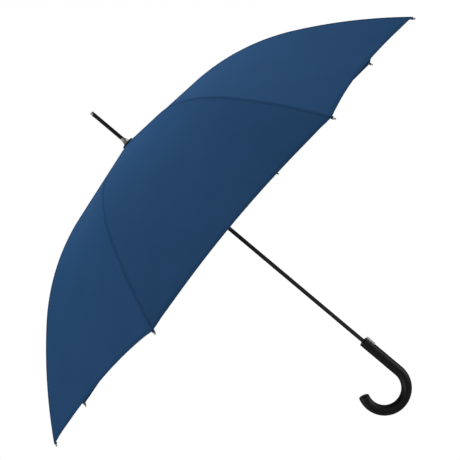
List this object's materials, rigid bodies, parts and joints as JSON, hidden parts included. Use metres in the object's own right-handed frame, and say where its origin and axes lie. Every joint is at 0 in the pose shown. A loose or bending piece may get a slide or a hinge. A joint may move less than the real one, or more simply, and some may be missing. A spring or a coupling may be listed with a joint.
{
  "type": "stick umbrella",
  "caption": "Self-opening stick umbrella, open: ribbed cloth canopy on a thin shaft with a long ferrule, a folding rib and stretcher linkage, and a J-shaped crook with a push button.",
  "frame": {"origin": "middle of the straight grip, on the shaft's axis, where a hand holds the umbrella", "axes": "+Z along the shaft towards the ferrule, -X the way the crook bends, +X the side of the push button"},
  "size_m": [0.9802, 0.9802, 0.8456],
  "materials": {
    "canopy_cloth": "fine woven pongee, satin sheen",
    "rib_steel": "black lacquered pressed steel",
    "rod_black": "pultruded glass fibre rod, satin",
    "tip_metal": "nickel plated",
    "shaft_paint": "black lacquer, semi-gloss",
    "black_plastic": "moulded, fine texture",
    "ferrule_plastic": "moulded, satin gloss",
    "rosette_black": "satin",
    "ferrule_metal": "satin grey metal",
    "grip_rubber": "soft-touch rubber coating",
    "button_silver": "silver lacquered",
    "spring_steel": "drawn wire, bright"
  },
  "bodies": {
    "root": {"shaft_tube": "shaft_paint", "crown": "black_plastic", "crown_wire": "spring_steel", "crown_pin": "spring_steel", "rosette": "rosette_black", "ferrule_collar": "ferrule_metal", "ferrule": "ferrule_plastic", "ferrule_cap": "ferrule_metal", "opening_spring": "spring_steel", "handle_grip": "grip_rubber", "handle_end_cap": "grip_rubber", "latch_housing": "black_plastic", "button_spring": "spring_steel"},
    "rib_1": {"rib_inner_1": "rib_steel", "canopy_gore_1": "canopy_cloth"},
    "rod_1": {"rib_outer_1": "rod_black", "rib_tip_1": "tip_metal"},
    "stay_1": {"stretcher_1": "rib_steel"},
    "rib_2": {"rib_inner_2": "rib_steel", "canopy_gore_2": "canopy_cloth", "closure_strap": "canopy_cloth", "strap_snap": "tip_metal"},
    "rod_2": {"rib_outer_2": "rod_black", "rib_tip_2": "tip_metal"},
    "stay_2": {"stretcher_2": "rib_steel"},
    "rib_3": {"rib_inner_3": "rib_steel", "canopy_gore_3": "canopy_cloth"},
    "rod_3": {"rib_outer_3": "rod_black", "rib_tip_3": "tip_metal"},
    "stay_3": {"stretcher_3": "rib_steel"},
    "rib_4": {"rib_inner_4": "rib_steel", "canopy_gore_4": "canopy_cloth"},
    "rod_4": {"rib_outer_4": "rod_black", "rib_tip_4": "tip_metal"},
    "stay_4": {"stretcher_4": "rib_steel"},
    "rib_5": {"rib_inner_5": "rib_steel", "canopy_gore_5": "canopy_cloth"},
    "rod_5": {"rib_outer_5": "rod_black", "rib_tip_5": "tip_metal"},
    "stay_5": {"stretcher_5": "rib_steel"},
    "rib_6": {"rib_inner_6": "rib_steel", "canopy_gore_6": "canopy_cloth"},
    "rod_6": {"rib_outer_6": "rod_black", "rib_tip_6": "tip_metal"},
    "stay_6": {"stretcher_6": "rib_steel"},
    "rib_7": {"rib_inner_7": "rib_steel", "canopy_gore_7": "canopy_cloth"},
    "rod_7": {"rib_outer_7": "rod_black", "rib_tip_7": "tip_metal"},
    "stay_7": {"stretcher_7": "rib_steel"},
    "rib_8": {"rib_inner_8": "rib_steel", "canopy_gore_8": "canopy_cloth"},
    "rod_8": {"rib_outer_8": "rod_black", "rib_tip_8": "tip_metal"},
    "stay_8": {"stretcher_8": "rib_steel"},
    "runner": {"runner": "black_plastic", "runner_wire": "spring_steel", "spring_plunger": "spring_steel"},
    "button": {"push_button": "button_silver", "latch_yoke": "spring_steel"}
  },
  "joints": [
    {"name": "rib_1_fold", "type": "hinge", "parent": "root", "child": "rib_1", "pos_m": [0.00831, 0.00344, 0.658], "axis": [-0.3827, 0.9239, 0], "range_deg": [0, 74.02], "stiffness_Nm_per_rad": 2.5, "springref_deg": -68.75, "deforming": ["canopy_gore_1", "canopy_gore_2", "canopy_gore_3", "canopy_gore_4", "canopy_gore_5", "canopy_gore_6", "canopy_gore_7", "canopy_gore_8", "opening_spring", "closure_strap"]},
    {"name": "rib_2_fold", "type": "hinge", "parent": "root", "child": "rib_2", "pos_m": [0.00344, 0.00831, 0.658], "axis": [-0.9239, 0.3827, 0], "range_deg": [0, 74.02]},
    {"name": "rib_3_fold", "type": "hinge", "parent": "root", "child": "rib_3", "pos_m": [-0.00344, 0.00831, 0.658], "axis": [-0.9239, -0.3827, 0], "range_deg": [0, 74.02]},
    {"name": "rib_4_fold", "type": "hinge", "parent": "root", "child": "rib_4", "pos_m": [-0.00831, 0.00344, 0.658], "axis": [-0.3827, -0.9239, 0], "range_deg": [0, 74.02]},
    {"name": "rib_5_fold", "type": "hinge", "parent": "root", "child": "rib_5", "pos_m": [-0.00831, -0.00344, 0.658], "axis": [0.3827, -0.9239, 0], "range_deg": [0, 74.02]},
    {"name": "rib_6_fold", "type": "hinge", "parent": "root", "child": "rib_6", "pos_m": [-0.00344, -0.00831, 0.658], "axis": [0.9239, -0.3827, 0], "range_deg": [0, 74.02]},
    {"name": "rib_7_fold", "type": "hinge", "parent": "root", "child": "rib_7", "pos_m": [0.00344, -0.00831, 0.658], "axis": [0.9239, 0.3827, 0], "range_deg": [0, 74.02]},
    {"name": "rib_8_fold", "type": "hinge", "parent": "root", "child": "rib_8", "pos_m": [0.00831, -0.00344, 0.658], "axis": [0.3827, 0.9239, 0], "range_deg": [0, 74.02]},
    {"name": "rod_1_flex", "type": "hinge", "parent": "rib_1", "child": "rod_1", "pos_m": [0.25263, 0.10464, 0.60139], "axis": [-0.3827, 0.9239, 0], "range_deg": [-22.05, 0]},
    {"name": "rod_2_flex", "type": "hinge", "parent": "rib_2", "child": "rod_2", "pos_m": [0.10464, 0.25263, 0.60139], "axis": [-0.9239, 0.3827, 0], "range_deg": [-22.05, 0]},
    {"name": "rod_3_flex", "type": "hinge", "parent": "rib_3", "child": "rod_3", "pos_m": [-0.10464, 0.25263, 0.60139], "axis": [-0.9239, -0.3827, 0], "range_deg": [-22.05, 0]},
    {"name": "rod_4_flex", "type": "hinge", "parent": "rib_4", "child": "rod_4", "pos_m": [-0.25263, 0.10464, 0.60139], "axis": [-0.3827, -0.9239, 0], "range_deg": [-22.05, 0]},
    {"name": "rod_5_flex", "type": "hinge", "parent": "rib_5", "child": "rod_5", "pos_m": [-0.25263, -0.10464, 0.60139], "axis": [0.3827, -0.9239, 0], "range_deg": [-22.05, 0]},
    {"name": "rod_6_flex", "type": "hinge", "parent": "rib_6", "child": "rod_6", "pos_m": [-0.10464, -0.25263, 0.60139], "axis": [0.9239, -0.3827, 0], "range_deg": [-22.05, 0]},
    {"name": "rod_7_flex", "type": "hinge", "parent": "rib_7", "child": "rod_7", "pos_m": [0.10464, -0.25263, 0.60139], "axis": [0.9239, 0.3827, 0], "range_deg": [-22.05, 0]},
    {"name": "rod_8_flex", "type": "hinge", "parent": "rib_8", "child": "rod_8", "pos_m": [0.25263, -0.10464, 0.60139], "axis": [0.3827, 0.9239, 0], "range_deg": [-22.05, 0]},
    {"name": "stay_1_pivot", "type": "hinge", "parent": "rib_1", "child": "stay_1", "pos_m": [0.24223, 0.10034, 0.59729], "axis": [-0.3827, 0.9239, 0], "range_deg": [-148.08, 0]},
    {"name": "stay_2_pivot", "type": "hinge", "parent": "rib_2", "child": "stay_2", "pos_m": [0.10034, 0.24223, 0.59729], "axis": [-0.9239, 0.3827, 0], "range_deg": [-148.08, 0]},
    {"name": "stay_3_pivot", "type": "hinge", "parent": "rib_3", "child": "stay_3", "pos_m": [-0.10034, 0.24223, 0.59729], "axis": [-0.9239, -0.3827, 0], "range_deg": [-148.08, 0]},
    {"name": "stay_4_pivot", "type": "hinge", "parent": "rib_4", "child": "stay_4", "pos_m": [-0.24223, 0.10034, 0.59729], "axis": [-0.3827, -0.9239, 0], "range_deg": [-148.08, 0]},
    {"name": "stay_5_pivot", "type": "hinge", "parent": "rib_5", "child": "stay_5", "pos_m": [-0.24223, -0.10034, 0.59729], "axis": [0.3827, -0.9239, 0], "range_deg": [-148.08, 0]},
    {"name": "stay_6_pivot", "type": "hinge", "parent": "rib_6", "child": "stay_6", "pos_m": [-0.10034, -0.24223, 0.59729], "axis": [0.9239, -0.3827, 0], "range_deg": [-148.08, 0]},
    {"name": "stay_7_pivot", "type": "hinge", "parent": "rib_7", "child": "stay_7", "pos_m": [0.10034, -0.24223, 0.59729], "axis": [0.9239, 0.3827, 0], "range_deg": [-148.08, 0]},
    {"name": "stay_8_pivot", "type": "hinge", "parent": "rib_8", "child": "stay_8", "pos_m": [0.24223, -0.10034, 0.59729], "axis": [0.3827, 0.9239, 0], "range_deg": [-148.08, 0]},
    {"name": "runner_pivot", "type": "hinge", "parent": "stay_1", "child": "runner", "pos_m": [0.00831, 0.00344, 0.53659], "axis": [-0.3827, 0.9239, 0], "range_deg": [0, 74.07]},
    {"name": "button_press", "type": "slide", "parent": "root", "child": "button", "axis": [-1, 0, 0], "range_m": [0, 0.002], "stiffness_N_per_m": 800, "springref_m": -0.002, "deforming": ["button_spring"]}
  ],
  "couplings": [
    {"joint": "rib_2_fold", "follows": "rib_1_fold", "ratio": 1},
    {"joint": "rib_3_fold", "follows": "rib_1_fold", "ratio": 1},
    {"joint": "rib_4_fold", "follows": "rib_1_fold", "ratio": 1},
    {"joint": "rib_5_fold", "follows": "rib_1_fold", "ratio": 1},
    {"joint": "rib_6_fold", "follows": "rib_1_fold", "ratio": 1},
    {"joint": "rib_7_fold", "follows": "rib_1_fold", "ratio": 1},
    {"joint": "rib_8_fold", "follows": "rib_1_fold", "ratio": 1},
    {"joint": "rod_1_flex", "follows": "rib_1_fold", "ratio": -0.29723},
    {"joint": "rod_2_flex", "follows": "rib_1_fold", "ratio": -0.29723},
    {"joint": "rod_3_flex", "follows": "rib_1_fold", "ratio": -0.29723},
    {"joint": "rod_4_flex", "follows": "rib_1_fold", "ratio": -0.29723},
    {"joint": "rod_5_flex", "follows": "rib_1_fold", "ratio": -0.29723},
    {"joint": "rod_6_flex", "follows": "rib_1_fold", "ratio": -0.29723},
    {"joint": "rod_7_flex", "follows": "rib_1_fold", "ratio": -0.29723},
    {"joint": "rod_8_flex", "follows": "rib_1_fold", "ratio": -0.29723},
    {"joint": "stay_1_pivot", "follows": "rib_1_fold", "ratio": -2},
    {"joint": "stay_2_pivot", "follows": "rib_1_fold", "ratio": -2},
    {"joint": "stay_3_pivot", "follows": "rib_1_fold", "ratio": -2},
    {"joint": "stay_4_pivot", "follows": "rib_1_fold", "ratio": -2},
    {"joint": "stay_5_pivot", "follows": "rib_1_fold", "ratio": -2},
    {"joint": "stay_6_pivot", "follows": "rib_1_fold", "ratio": -2},
    {"joint": "stay_7_pivot", "follows": "rib_1_fold", "ratio": -2},
    {"joint": "stay_8_pivot", "follows": "rib_1_fold", "ratio": -2},
    {"joint": "runner_pivot", "follows": "rib_1_fold", "ratio": 1}
  ]
}
